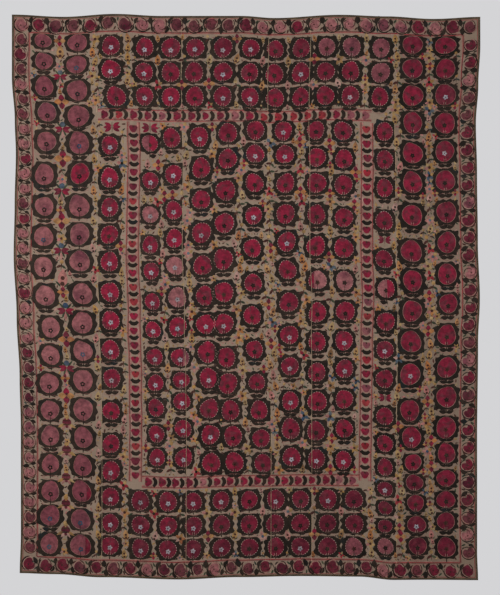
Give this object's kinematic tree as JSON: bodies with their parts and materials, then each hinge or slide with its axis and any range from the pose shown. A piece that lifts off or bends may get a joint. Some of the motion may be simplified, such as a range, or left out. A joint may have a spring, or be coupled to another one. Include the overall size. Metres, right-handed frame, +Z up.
{
  "type": "suzani embroidered wall hanging",
  "caption": "Tall rectangular cloth of sewn loom-width strips, hung by its top edge, covered in rows of round embroidered flowers with flowered borders and a bound edge.",
  "frame": {"origin": "middle of the cloth's top edge, in the plane that the cloth hangs against", "axes": "+Z up, along the loom-width strips; +X to the viewer's right; -Y is the embroidered front"},
  "size_m": [2.0602, 0.0174, 2.4888],
  "materials": {
    "cotton": "hand-woven unbleached cotton, matt, with slubs and age stains",
    "edging_tape": "narrow dark hand-woven tape, matt",
    "silk_crimson": "couched silk thread, soft sheen",
    "silk_rose": "couched silk thread, faded, soft sheen",
    "silk_dark": "couched silk thread, blackish green and navy",
    "silk_vermilion": "chain-stitched silk thread, soft sheen",
    "silk_ochre": "couched silk thread, ochre and orange",
    "silk_blue_grey": "couched silk thread, faded blue-grey",
    "silk_pale": "couched silk thread, pale pink-white"
  },
  "bodies": {
    "root": {"panel_1_left": "cotton", "panel_2": "cotton", "panel_3": "cotton", "panel_4_half": "cotton", "panel_5": "cotton", "panel_6_right": "cotton", "binding_top": "edging_tape", "binding_bottom": "edging_tape", "binding_left": "edging_tape", "binding_right": "edging_tape"}
  },
  "joints": []
}
